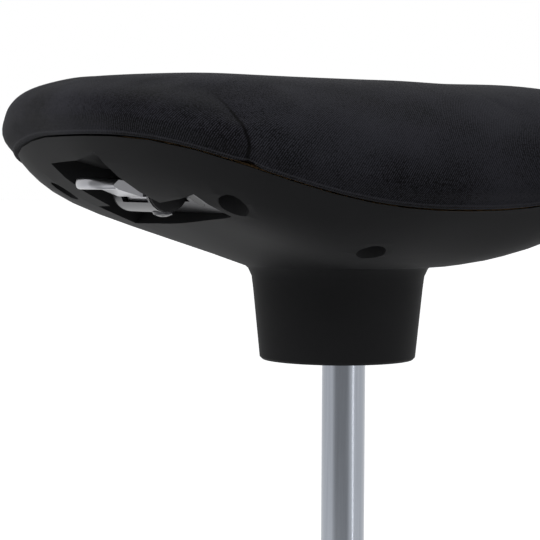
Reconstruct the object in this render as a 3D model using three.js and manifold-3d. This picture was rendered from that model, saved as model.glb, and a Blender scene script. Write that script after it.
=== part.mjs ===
// A height-adjustable saddle stool on a weighted round foot, in millimetres.
// The origin is on the floor under the column and +Z is up. The sitter faces -Y, so the
// sitter's right hand, where the height lever is, is on the -X side. The lift is part way up.
import * as THREE from 'three';
import { mergeVertices } from 'three/addons/utils/BufferGeometryUtils.js';
import Module from 'manifold-3d';

const wasm = await Module();
wasm.setup();

// Driving dimensions
const neckRimHeight = 536; // floor to the lower rim of the seat's neck
const seatHalfWidth = 202; // column to the shell's rim, at the side
const seatFront = 153; // column to the shell's rim, in front
const seatRear = 172; // column to the shell's rim, behind
const footRadius = 195;
const columnShown = 146; // bare lift tube between the lower column and the neck
const liftTubeRadius = 14;
const outerTubeRadius = 25;
const liftTravelDown = 130;
const liftTravelUp = 100;

// Clearances
const restGap = 0.3; // between pieces that rest against each other
const runningClearance = 0.06; // round a turning or sliding pin
const guideClearance = 0.08; // round the lift tube in its guide
const cutOverrun = 2; // how far a cutting shape runs past a face

// Facet counts of the round pieces
const footFacets = 40;
const tubeFacets = 28;
const screwFacets = 10;
const seatFacets = 48;

// Finishes
const finish = (color, roughness, metalness) => new THREE.MeshStandardMaterial({ color, roughness, metalness });
const blackFabric = finish(0x24242a, 0.95, 0);
const blackPlastic = finish(0x262628, 0.55, 0);
const blackRubber = finish(0x1b1b1c, 0.8, 0);
const naturalPlastic = finish(0xc9c6bc, 0.6, 0);
const plywood = finish(0xb08d5e, 0.7, 0);
const satinChrome = finish(0x9aa0a6, 0.28, 1);
const brightMetal = finish(0xc4c6c8, 0.25, 1);
const paintedSteel = finish(0x2c2d2f, 0.5, 0.6);
const plainSteel = finish(0x8c8f92, 0.4, 1);
const blackSteel = finish(0x303133, 0.45, 0.8);

const stool = new THREE.Group();
const seat = new THREE.Group(); // measured from the neck's lower rim
seat.position.z = neckRimHeight;
stool.add(seat);

// Makes one closed solid of a geometry: shared corners merged, flat slivers dropped, faces out
function closed(geometry) {
  const bare = geometry.clone();
  for (const name of Object.keys(bare.attributes)) {
    if (name !== 'position') bare.deleteAttribute(name);
  }
  const merged = mergeVertices(bare);
  const index = merged.index.array;
  const corner = [new THREE.Vector3(), new THREE.Vector3(), new THREE.Vector3()];
  const kept = [];
  let volume = 0;
  for (let i = 0; i < index.length; i += 3) {
    const [a, b, c] = index.slice(i, i + 3);
    if (a === b || b === c || c === a) continue;
    [a, b, c].forEach((vertex, k) => corner[k].fromBufferAttribute(merged.attributes.position, vertex));
    volume += corner[0].dot(corner[1].clone().cross(corner[2]));
    kept.push(a, b, c);
  }
  if (volume < 0) kept.reverse();
  merged.setIndex(kept);
  merged.computeVertexNormals();
  return merged;
}

function toManifold(geometry) {
  const solid = closed(geometry);
  return new wasm.Manifold(new wasm.Mesh({
    numProp: 3,
    vertProperties: new Float32Array(solid.attributes.position.array),
    triVerts: new Uint32Array(solid.index.array),
  }));
}

function toGeometry(manifold) {
  const mesh = manifold.getMesh();
  const geometry = new THREE.BufferGeometry();
  geometry.setAttribute('position', new THREE.BufferAttribute(mesh.vertProperties.slice(), 3));
  geometry.setIndex([...mesh.triVerts]);
  return geometry;
}

function cut(geometry, tools) {
  return toGeometry(tools.reduce((solid, tool) => solid.subtract(toManifold(tool)), toManifold(geometry)));
}

function join(geometries) {
  return toGeometry(geometries.map(toManifold).reduce((solid, other) => solid.add(other)));
}

function common(geometry, other) {
  return toGeometry(toManifold(geometry).intersect(toManifold(other)));
}

function add(name, geometry, material, parent = stool) {
  const mesh = new THREE.Mesh(closed(geometry), material);
  mesh.name = name;
  parent.add(mesh);
  return mesh;
}

// A profile of [radius, height] points turned about the upright axis
function revolve(profile, facets) {
  const outline = [...profile, profile[0]];
  return new THREE.LatheGeometry(outline.map(([r, z]) => new THREE.Vector2(r, z)), facets).rotateX(Math.PI / 2);
}

// The same about the Y axis, for the lever's barrel and its pin
function revolveAcross(profile, facets) {
  const outline = [...profile, profile[0]];
  return new THREE.LatheGeometry(outline.map(([r, y]) => new THREE.Vector2(r, y)), facets);
}

function ring(innerRadius, outerRadius, low, high, facets) {
  return revolve([[innerRadius, low], [outerRadius, low], [outerRadius, high], [innerRadius, high]], facets);
}

function rod(radius, low, high, facets) {
  return ring(0, radius, low, high, facets);
}

function shapeOf(points) {
  return new THREE.Shape(points.map(([x, y]) => new THREE.Vector2(x, y)));
}

// An outline of [x, z] points drawn out along Y
function extrudeAcross(points, yFrom, yTo) {
  const solid = new THREE.ExtrudeGeometry(shapeOf(points), { depth: yTo - yFrom, bevelEnabled: false });
  return solid.rotateX(Math.PI / 2).translate(0, yTo, 0);
}

// An outline of [y, z] points drawn out along X, centred on the column
function extrudeSideways(points, length) {
  const solid = new THREE.ExtrudeGeometry(shapeOf(points), { depth: length, bevelEnabled: false });
  const axes = new THREE.Matrix4().makeBasis(
    new THREE.Vector3(0, 1, 0), new THREE.Vector3(0, 0, 1), new THREE.Vector3(1, 0, 0));
  return solid.applyMatrix4(axes).translate(-length / 2, 0, 0);
}

function block(xFrom, xTo, yFrom, yTo, zFrom, zTo) {
  const box = new THREE.BoxGeometry(xTo - xFrom, yTo - yFrom, zTo - zFrom);
  return box.translate((xFrom + xTo) / 2, (yFrom + yTo) / 2, (zFrom + zTo) / 2);
}

// Skins a stack of rings that have the same number of points; a ring of one point closes an end
function loft(rings, joinEnds = false) {
  const positions = [];
  const starts = rings.map((points) => {
    const start = positions.length / 3;
    points.forEach((point) => positions.push(point.x, point.y, point.z));
    return start;
  });
  const index = [];
  const bands = joinEnds ? rings.length : rings.length - 1;
  for (let band = 0; band < bands; band += 1) {
    const next = (band + 1) % rings.length;
    const count = Math.max(rings[band].length, rings[next].length);
    for (let i = 0; i < count; i += 1) {
      const j = (i + 1) % count;
      const near = (k) => starts[band] + (rings[band].length > 1 ? k : 0);
      const far = (k) => starts[next] + (rings[next].length > 1 ? k : 0);
      index.push(near(i), near(j), far(j), near(i), far(j), far(i));
    }
  }
  const geometry = new THREE.BufferGeometry();
  geometry.setAttribute('position', new THREE.Float32BufferAttribute(positions, 3));
  geometry.setIndex(index);
  return geometry;
}

// A round bar of the given radius along a path
function alongPath(path, radius, sides, steps) {
  const section = new THREE.Shape(Array.from({ length: sides }, (_, i) => {
    const angle = (i / sides) * 2 * Math.PI;
    return new THREE.Vector2(radius * Math.cos(angle), radius * Math.sin(angle));
  }));
  return new THREE.ExtrudeGeometry(section, { steps, bevelEnabled: false, extrudePath: path });
}

// Foot: a rubber ring, a steel weight plate, a turned hub and a spun steel cover
const footRingHeight = 4;
const footRingWidth = 26;
const footRingInset = 5;
const plateInset = 6;
const plateThickness = 9;
const hubFlangeRadius = 50;
const hubFlangeThickness = 10;
const hubWall = 4;
const hubTop = 74;
const coverThickness = 1.5;
const coverSkirtLow = 2.5;
const coverSkirtHigh = 11;
const coverRise = 30; // top of the low dome, where the trumpet begins
const coverTrumpetRadius = 62;
const footScrewRadius = 4;
const footScrewHeadRadius = 7.5;
const footScrewHeadDepth = 4.5;
const footScrewCount = 4;

const plateLow = footRingHeight + restGap;
const plateHigh = plateLow + plateThickness;
const footRingOuter = footRadius - footRingInset;
const plateRadius = footRadius - plateInset;
const hubLow = plateHigh + restGap;
const footScrewCircle = (outerTubeRadius + hubWall + hubFlangeRadius) / 2;
const footScrewPlaces = Array.from({ length: footScrewCount }, (_, i) => {
  const angle = ((i + 0.5) / footScrewCount) * 2 * Math.PI;
  return [footScrewCircle * Math.cos(angle), footScrewCircle * Math.sin(angle)];
});

function footScrew(grow) {
  return revolve([
    [0, plateLow + footScrewHeadDepth * 0.2 - grow],
    [footScrewHeadRadius + grow, plateLow + footScrewHeadDepth * 0.2 - grow],
    [footScrewHeadRadius + grow, plateLow + footScrewHeadDepth + grow],
    [footScrewRadius + grow, plateLow + footScrewHeadDepth + grow],
    [footScrewRadius + grow, hubLow + hubFlangeThickness * 0.8 + grow],
    [0, hubLow + hubFlangeThickness * 0.8 + grow],
  ], screwFacets);
}

const footScrewHoles = footScrewPlaces.map(([x, y]) => join([
  footScrew(restGap).translate(x, y, 0),
  rod(footScrewHeadRadius + restGap, plateLow - cutOverrun, plateLow + footScrewHeadDepth / 2, screwFacets)
    .translate(x, y, 0),
]));

add('foot_ring', ring(footRingOuter - footRingWidth, footRingOuter, 0, footRingHeight, footFacets), blackRubber);

add('base_plate', cut(rod(plateRadius, plateLow, plateHigh, footFacets), footScrewHoles), plainSteel);

// The hub's bore tapers like the foot of the outer tube, which wedges into it
const tubeLow = 24;
const tubeTaper = 0.9; // how much narrower the outer tube is at its foot
const hubBoreLow = outerTubeRadius - tubeTaper + restGap;
const hubBoreHigh = outerTubeRadius + restGap;
const hubSolid = revolve([
  [hubBoreLow, hubLow],
  [hubFlangeRadius, hubLow],
  [hubFlangeRadius, hubLow + hubFlangeThickness],
  [hubBoreLow + 2 * hubWall, hubLow + hubFlangeThickness],
  [hubBoreHigh + hubWall, hubTop],
  [hubBoreHigh, hubTop],
  [hubBoreLow, tubeLow],
], tubeFacets);
add('base_hub', cut(hubSolid, footScrewHoles), plainSteel);

footScrewPlaces.forEach(([x, y], i) => {
  add(`base_screw_${i + 1}`, footScrew(0).translate(x, y, 0), blackSteel);
});

// The cover's outer line: a skirt, a rounded shoulder, a low dome and a trumpet up to the tube
const coverNeck = hubBoreHigh + hubWall + restGap;
const shoulderRound = coverSkirtHigh - coverSkirtLow;
const coverTop = hubTop + restGap;
function coverLine(inset) {
  const shoulder = [0, 0.5, 1].map((step) => {
    const angle = step * Math.PI / 2;
    return [
      footRadius - shoulderRound + (shoulderRound - inset) * Math.cos(angle),
      coverSkirtHigh + (shoulderRound - inset) * Math.sin(angle),
    ];
  });
  const trumpet = [0, 0.35, 0.7, 1].map((step) => {
    const angle = step * Math.PI / 2;
    return [
      coverTrumpetRadius - (coverTrumpetRadius - coverNeck) * Math.sin(angle) + (coverThickness - inset),
      coverRise + (coverTop - coverRise) * (1 - Math.cos(angle)) - inset * (1 - step),
    ];
  });
  return [[footRadius - inset, coverSkirtLow], ...shoulder, ...trumpet];
}
const coverProfile = [...coverLine(0), ...coverLine(coverThickness).reverse()];
add('base_cover', revolve(coverProfile, footFacets), satinChrome);

// Outer tube of the lift, with its floor, guide and collar
const outerTubeWall = 2;
const tubeFloor = 3;
const collarHeight = 8;
const guideLength = 90;
const rodNeckRadius = 4; // the stepped lower end of the piston rod
const collarLap = 1.5;
const collarTop = neckRimHeight - columnShown;
const tubeHigh = collarTop - collarHeight;
const tubeBore = outerTubeRadius - outerTubeWall;
const guideBore = liftTubeRadius + guideClearance;

add('outer_tube', revolve([
  [rodNeckRadius + restGap, tubeLow],
  [outerTubeRadius - tubeTaper, tubeLow],
  [outerTubeRadius, hubTop],
  [outerTubeRadius, tubeHigh],
  [tubeBore, tubeHigh],
  [tubeBore, tubeLow + tubeFloor],
  [rodNeckRadius + restGap, tubeLow + tubeFloor],
], tubeFacets), paintedSteel);

add('guide_sleeve', ring(guideBore, tubeBore - restGap, tubeHigh - guideLength, tubeHigh, tubeFacets),
  naturalPlastic);

add('tube_collar', revolve([
  [guideBore + restGap, tubeHigh + restGap],
  [outerTubeRadius + restGap, tubeHigh + restGap],
  [outerTubeRadius + restGap, tubeHigh - collarHeight],
  [outerTubeRadius + restGap + collarLap, tubeHigh - collarHeight],
  [outerTubeRadius + restGap + collarLap, collarTop - collarLap],
  [outerTubeRadius + restGap, collarTop],
  [guideBore + restGap, collarTop],
], tubeFacets), blackPlastic);

add('base_collar', revolve([
  [outerTubeRadius + restGap, coverTop + restGap],
  [coverNeck + coverThickness, coverTop + restGap],
  [coverNeck + coverThickness, coverTop + collarHeight / 2],
  [coverNeck, coverTop + collarHeight],
  [outerTubeRadius + restGap, coverTop + collarHeight],
], tubeFacets), blackPlastic);

// Thrust bearing on the tube's floor: washer, caged balls, washer
const washerThickness = 2;
const washerRadius = 12;
const ballRadius = 1.6;
const ballCount = 10;
const cageThickness = 1.6;
const washerBore = rodNeckRadius + restGap;
const lowerWasherLow = tubeLow + tubeFloor + restGap;
const ballCentre = lowerWasherLow + washerThickness + restGap / 2 + ballRadius;
const upperWasherLow = ballCentre + ballRadius + restGap / 2;
const upperWasherHigh = upperWasherLow + washerThickness;
const ballCircle = (washerBore + washerRadius) / 2;
const ballPlaces = Array.from({ length: ballCount }, (_, i) => {
  const angle = (i / ballCount) * 2 * Math.PI;
  return [ballCircle * Math.cos(angle), ballCircle * Math.sin(angle)];
});

add('lower_washer', ring(washerBore, washerRadius, lowerWasherLow, lowerWasherLow + washerThickness, tubeFacets),
  plainSteel);

const cageLow = ballCentre - cageThickness / 2;
const cageRing = ring(washerBore, washerRadius, cageLow, cageLow + cageThickness, tubeFacets);
add('ball_cage', join([cageRing, ...ballPlaces.map(([x, y]) =>
  new THREE.SphereGeometry(ballRadius, 6, 4).rotateX(Math.PI / 2).translate(x, y, ballCentre))]), plainSteel);

add('upper_washer', ring(washerBore, washerRadius, upperWasherLow, upperWasherHigh, tubeFacets), plainSteel);

// Piston rod, from the clip under the tube's floor to the piston in the lift tube
const rodRadius = 5;
const clipThickness = 2;
const clipRadius = 7;
const clipGroove = 1;
const rodTail = 4;
const bumperRadius = 13;
const bumperHeight = 26;
const pistonHeight = 14;
const pistonClearance = 0.2;
const sealGroove = 1.2;
const liftTubeWall = 1.5;
const liftTubeSealHeight = 12;
const pistonReserve = 2; // left between piston and tube seal with the lift fully up
const liftTubeLow = tubeHigh - guideLength / 2 - liftTravelUp; // above the floor, lift as drawn
const liftTubeBore = liftTubeRadius - liftTubeWall;
const clipHigh = tubeLow - restGap;
const clipLow = clipHigh - clipThickness;
const shoulderHeight = upperWasherHigh + restGap;
const pistonLow = liftTubeLow + liftTravelUp + liftTubeSealHeight + pistonReserve;
const pistonHigh = pistonLow + pistonHeight;
const pistonRadius = liftTubeBore - pistonClearance;
const pistonBore = rodNeckRadius + restGap;

add('piston_rod', revolve([
  [0, clipLow - rodTail],
  [rodNeckRadius, clipLow - rodTail],
  [rodNeckRadius, clipLow - restGap],
  [rodNeckRadius - clipGroove, clipLow - restGap],
  [rodNeckRadius - clipGroove, clipHigh + restGap],
  [rodNeckRadius, clipHigh + restGap],
  [rodNeckRadius, shoulderHeight],
  [rodRadius, shoulderHeight],
  [rodRadius, pistonLow - restGap],
  [rodNeckRadius, pistonLow - restGap],
  [rodNeckRadius, pistonHigh],
  [0, pistonHigh],
], tubeFacets), satinChrome);

add('retaining_clip', ring(rodNeckRadius - clipGroove + restGap, clipRadius, clipLow, clipHigh, tubeFacets),
  blackSteel);

const bumperLow = shoulderHeight + restGap;
add('bump_stop', revolve([
  [rodRadius + restGap, bumperLow],
  [bumperRadius, bumperLow],
  [bumperRadius, bumperLow + bumperHeight / 2],
  [bumperRadius * 0.75, bumperLow + bumperHeight],
  [rodRadius + restGap, bumperLow + bumperHeight],
], tubeFacets), blackRubber);

const sealLow = pistonLow + pistonHeight / 3;
const sealHigh = pistonHigh - pistonHeight / 3;
add('piston', revolve([
  [pistonBore, pistonLow],
  [pistonRadius, pistonLow],
  [pistonRadius, sealLow],
  [pistonRadius - sealGroove, sealLow],
  [pistonRadius - sealGroove, sealHigh],
  [pistonRadius, sealHigh],
  [pistonRadius, pistonHigh],
  [pistonBore, pistonHigh],
], tubeFacets), plainSteel);

add('piston_seal', ring(pistonRadius - sealGroove + restGap, pistonRadius + pistonClearance / 2,
  sealLow + restGap, sealHigh - restGap, tubeFacets), blackRubber);

// Lift tube: its tapered head wedges into the socket under the seat
const headHeight = 95; // top of the tube above the neck's rim
const headTaperLength = 60;
const headTaper = 1.1; // how much narrower the tube is at its top
const cavityHigh = 24;
const buttonRadius = 4;
const buttonBoreDepth = 25;
const tubeFoot = liftTubeLow - neckRimHeight;
const headRadius = liftTubeRadius - headTaper;

add('gas_cylinder', revolve([
  [0, cavityHigh],
  [liftTubeBore, cavityHigh],
  [liftTubeBore, tubeFoot],
  [liftTubeRadius, tubeFoot],
  [liftTubeRadius, headHeight - headTaperLength],
  [headRadius, headHeight],
  [buttonRadius + runningClearance, headHeight],
  [buttonRadius + runningClearance, headHeight - buttonBoreDepth],
  [0, headHeight - buttonBoreDepth],
], tubeFacets), satinChrome, seat);

add('cylinder_seal', ring(rodRadius + runningClearance, liftTubeBore - restGap,
  tubeFoot, tubeFoot + liftTubeSealHeight, tubeFacets), blackRubber, seat);

// Pressed steel bracket under the seat pan, a shallow hat section that runs across the seat
const padHeight = 118; // flat underside of the pan's middle
const bracketSteel = 3;
const bracketDepth = 22.7;
const bracketLength = 150;
const bracketHalfWeb = 38;
const bracketHalfSpan = 62;
const socketRadius = 20;
const socketLength = 58;
const socketFlangeRadius = 27;
const socketFlange = 5;
const bracketBoltRadius = 4;
const bracketBoltHead = 5.3;
const bracketBoltHeadRadius = 7.4;
const bracketBoltReach = 12;
const bracketHigh = padHeight - restGap;
const webHigh = bracketHigh - bracketDepth;
const webLow = webHigh - bracketSteel;
const flangeLow = bracketHigh - bracketSteel;
const boltPlaces = [-1, 1].flatMap((sideX) => [-1, 1].map((sideY) =>
  [sideX * bracketLength * 0.37, sideY * (bracketHalfWeb + bracketHalfSpan) / 2]));

function bracketBolt(grow) {
  const head = rod(bracketBoltHeadRadius + grow, flangeLow - restGap - bracketBoltHead, flangeLow - restGap, 6);
  const shank = rod(bracketBoltRadius + grow, flangeLow - restGap - bracketBoltHead / 2,
    padHeight + bracketBoltReach + grow, screwFacets);
  return join([head, shank]);
}

const hatOutline = [
  [-bracketHalfSpan, bracketHigh], [-bracketHalfWeb + bracketSteel, bracketHigh],
  [-bracketHalfWeb + bracketSteel, webHigh], [bracketHalfWeb - bracketSteel, webHigh],
  [bracketHalfWeb - bracketSteel, bracketHigh], [bracketHalfSpan, bracketHigh],
  [bracketHalfSpan, flangeLow], [bracketHalfWeb, flangeLow], [bracketHalfWeb, webLow],
  [-bracketHalfWeb, webLow], [-bracketHalfWeb, flangeLow], [-bracketHalfSpan, flangeLow],
];
const boltClearance = boltPlaces.map(([x, y]) => rod(bracketBoltRadius + restGap,
  flangeLow - cutOverrun, bracketHigh + cutOverrun, screwFacets).translate(x, y, 0));
add('seat_bracket', cut(extrudeSideways(hatOutline, bracketLength), [
  rod(headRadius + restGap * 2, webLow - cutOverrun, webHigh + cutOverrun, tubeFacets),
  ...boltClearance,
]), blackSteel, seat);

const socketHigh = webLow - restGap;
const socketLow = socketHigh - socketLength;
const socketBore = (height) => restGap
  + Math.min(liftTubeRadius, headRadius + headTaper * (headHeight - height) / headTaperLength);
add('taper_socket', revolve([
  [socketBore(socketLow), socketLow],
  [socketRadius, socketLow],
  [socketRadius, socketHigh - socketFlange],
  [socketFlangeRadius, socketHigh - socketFlange],
  [socketFlangeRadius, socketHigh],
  [socketBore(socketHigh), socketHigh],
], tubeFacets), plainSteel, seat);

boltPlaces.forEach(([x, y], i) => {
  add(`bracket_bolt_${i + 1}`, bracketBolt(0).translate(x, y, 0), blackSteel, seat);
});

// The seat's outline seen from above: one rounded oblong, deeper behind the column than before it
const outlinePower = 2.8;
function outlineRadius(angle, inset = 0) {
  const reach = Math.sin(angle) < 0 ? seatFront : seatRear;
  const across = Math.abs(Math.cos(angle)) / (seatHalfWidth - inset);
  const along = Math.abs(Math.sin(angle)) / (reach - inset);
  return (across ** outlinePower + along ** outlinePower) ** (-1 / outlinePower);
}

// Height of the shell's rim: level at the wings, low in front, a little lower at the rear corners
const rimSide = 140;
const rimFrontDrop = 42;
const rimRearDrop = 30;
const rimAcrossPower = 2.2;
const rimFrontPower = 3;
const rimRearPower = 1.5;
function rimHeight(angle) {
  const radius = outlineRadius(angle);
  const across = Math.min(1, Math.abs(radius * Math.cos(angle)) / seatHalfWidth);
  const along = radius * Math.sin(angle);
  if (along < 0) {
    return rimSide - rimFrontDrop * (1 - across ** rimAcrossPower) * (-along / seatFront) ** rimFrontPower;
  }
  return rimSide - rimRearDrop * (along / seatRear) ** rimRearPower;
}

const seatAngles = Array.from({ length: seatFacets }, (_, i) => (i / seatFacets) * 2 * Math.PI);
const at = (angle, radius, height, centreY = 0) =>
  new THREE.Vector3(radius * Math.cos(angle), centreY + radius * Math.sin(angle), height);

// Moulded shell: a round neck that flares into a shallow bowl
const shellWall = 3;
const neckRadius = 50.5;
const neckCentreY = 9; // the neck stands a little behind the column
const neckWaistRadius = 55;
const neckWaistHeight = 46;
const flareRadius = 62;
const flareHeight = 61;
const neckCornerRound = 1.5;
const neckFloorHeight = 9;
const columnHole = liftTubeRadius + 1.5;
const sideClimbShare = 0.74; // of the bowl's rise that is a steady climb, at the sides and behind
const frontClimbShare = 0; // the same in front, where the bowl hangs lower
const sideBilgePower = 8; // how sharply the rest turns up at the rim
const frontBilgePower = 2.5;
const frontSpread = 4; // how closely the low part keeps to the middle of the front
const bowlShares = [0.16, 0.33, 0.5, 0.65, 0.77, 0.86, 0.92, 0.965, 1];
const bowlInsideShares = [0.33, 0.65, 0.86, 0.965, 1];

function bowlPoint(angle, share, inset) {
  const start = at(angle, flareRadius - inset, 0, neckCentreY);
  const end = at(angle, outlineRadius(angle, inset), 0);
  const point = start.lerp(end, share);
  const frontness = Math.max(0, -Math.sin(angle)) ** frontSpread;
  const steady = sideClimbShare + (frontClimbShare - sideClimbShare) * frontness;
  const bilge = sideBilgePower + (frontBilgePower - sideBilgePower) * frontness;
  const climb = steady * share + (1 - steady) * share ** bilge;
  point.z = flareHeight + inset + (rimHeight(angle) - flareHeight - inset) * climb;
  return point;
}

function flareStep(step, inset) {
  const turn = step * Math.PI / 2;
  return [
    neckWaistRadius - inset + (flareRadius - neckWaistRadius) * (1 - Math.cos(turn)),
    neckWaistHeight + (flareHeight + inset - neckWaistHeight) * Math.sin(turn),
  ];
}

function neckRings(inset) {
  const steps = [[neckRadius - inset, neckCornerRound + inset / 2], ...[0, 0.35, 0.65, 0.85].map((step) =>
    flareStep(step, inset))];
  return steps.map(([radius, height]) => seatAngles.map((angle) => at(angle, radius, height, neckCentreY)));
}

function bowlRings(inset, shares) {
  return [0, ...shares].map((share) => seatAngles.map((angle) => bowlPoint(angle, share, inset)));
}

const neckRing = (radius, height) => seatAngles.map((angle) => at(angle, radius, height, neckCentreY));
const neckMouth = [neckRing(neckRadius - neckCornerRound, 0)];
const neckInside = [
  seatAngles.map((angle) => at(angle, columnHole, neckFloorHeight + shellWall)),
  seatAngles.map((angle) => at(angle, columnHole, neckFloorHeight)),
  neckRing(neckRadius - shellWall, neckFloorHeight),
  neckRing(neckRadius - shellWall, 0),
];
const innerNeck = [neckRing(neckRadius - shellWall, neckFloorHeight + shellWall), ...neckRings(shellWall).slice(1)];
const shellSkin = loft([
  ...neckMouth, ...neckRings(0), ...bowlRings(0, bowlShares),
  ...bowlRings(shellWall, bowlInsideShares).reverse(), ...innerNeck.reverse(), ...neckInside,
], true);
const shellFilled = loft([
  [new THREE.Vector3(0, neckCentreY, 0)], ...neckMouth, ...neckRings(0), ...bowlRings(0, bowlShares),
  [new THREE.Vector3(0, 0, rimSide)],
]);

// Seat pan: moulded plywood, a dished deck with a flat pad under its middle
const panInset = 12;
const deckCentre = 134;
const panThickness = 9;
const panEdgeThickness = 5;
const padShare = 0.46;
function deckHeight(angle, share) {
  return deckCentre + (rimHeight(angle) - deckCentre) * share ** 2;
}
const panRadius = (angle, share) => share * outlineRadius(angle, panInset);
const deckRing = (share, drop) => seatAngles.map((angle) =>
  at(angle, panRadius(angle, share), deckHeight(angle, share) - drop));
const panUnder = [1, 0.85, 0.7, 0.58].map((share) => {
  const edge = (share - padShare) / (1 - padShare);
  return deckRing(share, panThickness + (panEdgeThickness - panThickness) * edge);
});
const padRing = seatAngles.map((angle) => at(angle, panRadius(angle, padShare), padHeight));
const deckShares = [0.3, 0.55, 0.75, 0.9, 1];
const panSolid = loft([
  [new THREE.Vector3(0, 0, deckCentre)],
  ...deckShares.map((share) => deckRing(share, 0)),
  ...panUnder,
  padRing,
  [new THREE.Vector3(0, 0, padHeight)],
]);

// The space under the pan, which the shell's bosses and the cable's clips reach up through
const spaceUnderPan = loft([
  [new THREE.Vector3(0, 0, padHeight)],
  padRing,
  ...panUnder.toReversed(),
  panUnder[0].map((point) => new THREE.Vector3(point.x, point.y, 0)),
  [new THREE.Vector3(0, 0, 0)],
].map((points) => points.toReversed())).translate(0, 0, -restGap);

// Screws that hold the shell to the pan, each in a deep round counterbore
const shellScrewRadius = 2.5;
const shellScrewHeadRadius = 5;
const shellScrewHeadHeight = 3.5;
const counterboreRadius = 8.8;
const bossRadius = counterboreRadius + shellWall;
const bossWall = 3;
const screwBite = 4;
const shellScrewPlaces = [
  [-45, -117], [-128, -108], [-170, 56], [128, -108], [170, 56], [45, 117],
].map(([x, y]) => ({ x, y }));

// Where the boss of a screw ends: the pan's underside over it
function panUndersideAt(x, y) {
  const angle = Math.atan2(y, x);
  const share = Math.min(1, Math.hypot(x, y) / outlineRadius(angle, panInset));
  if (share <= padShare) return padHeight;
  const edge = (share - padShare) / (1 - padShare);
  return deckHeight(angle, share) - (panThickness + (panEdgeThickness - panThickness) * edge);
}

function shellScrew({ x, y }, grow) {
  const seatLevel = panUndersideAt(x, y) - bossWall - restGap - 2;
  const head = rod(shellScrewHeadRadius + grow, seatLevel - shellScrewHeadHeight, seatLevel, screwFacets);
  const shank = rod(shellScrewRadius + grow, seatLevel - shellScrewHeadHeight / 2,
    panUndersideAt(x, y) + screwBite + grow, screwFacets);
  return join([head, shank]).translate(x, y, 0);
}

// Lever mechanism under the right wing, measured from the middle of its barrel
const leverPlace = new THREE.Vector3(-142, -14, 108);
const leverMount = new THREE.Group();
leverMount.position.copy(leverPlace);
seat.add(leverMount);

const barrelRadius = 12.2;
const barrelWall = 2;
const barrelFront = -30;
const barrelRear = 26;
const barrelEndWall = 3;
const pivotRadius = 3;
const plateSlope = 38 * Math.PI / 180; // how steeply the wing's underside climbs here
const plateRise = 3; // plate's lower face above the barrel's axis
const plateOutboard = 0;
const plateInboard = 24.5;
const plateFront = -79;
const plateRear = 54;
const plateSteel = 2.5;
const plateScrewRadius = 2.8;
const plateScrewHeadRadius = 6.2;
const plateScrewLength = 12;
const plateScrewShare = 0.5;
const plateFrontScrewInset = 28;
const plateRearScrewInset = 12;
const windowLow = -6.4;
const windowHigh = 10;
const windowFront = -27;
const windowRear = 14;
const capDepth = 5;
const capDome = 2.5;
const pocketGap = 1; // round the mechanism in the shell
const barrelBore = barrelRadius - barrelWall;
const barrelFacets = 24;

// Turns a solid made level under the barrel onto the slope of the plate
function ontoSlope(geometry) {
  return geometry.rotateY(plateSlope).translate(0, 0, plateRise);
}

const plateScrewPlaces = [plateFront + plateFrontScrewInset, plateRear - plateRearScrewInset].map((y) =>
  [plateOutboard + (plateInboard - plateOutboard) * plateScrewShare, y]);

function plateScrew(grow) {
  return revolve([
    [0, -grow],
    [plateScrewHeadRadius + 2 * grow, -grow],
    [plateScrewRadius + grow, plateSteel + grow],
    [plateScrewRadius + grow, plateScrewLength + grow],
    [0, plateScrewLength + grow],
  ], screwFacets);
}
const plateScrewsAt = (grow) => plateScrewPlaces.map(([x, y]) => ontoSlope(plateScrew(grow).translate(x, y, 0)));

// Cable from the barrel, inside the shell, to the stop at the top of the lift tube
const cableRadius = 2.5;
const cableWireRadius = 0.8;
const cableHeight = 112; // of the wire over the release arm
const headStopX = -26;
const headSteel = 2;
const cableRoute = new THREE.CatmullRomCurve3([
  [leverPlace.x + 12, leverPlace.y - 5, leverPlace.z + 4.4],
  [leverPlace.x + 18, leverPlace.y - 4, leverPlace.z + 7],
  [-105, -14, 113.5],
  [-85, -9, cableHeight],
  [-65, -4, cableHeight],
  [-45, 0, cableHeight],
  [headStopX - headSteel - restGap, 0, cableHeight],
].map(([x, y, z]) => new THREE.Vector3(x, y, z)));
const cableTool = alongPath(cableRoute, cableRadius + restGap * 2, 8, 30);
const toLever = (geometry) => geometry.translate(-leverPlace.x, -leverPlace.y, -leverPlace.z);
const toSeat = (geometry) => geometry.translate(leverPlace.x, leverPlace.y, leverPlace.z);

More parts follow.
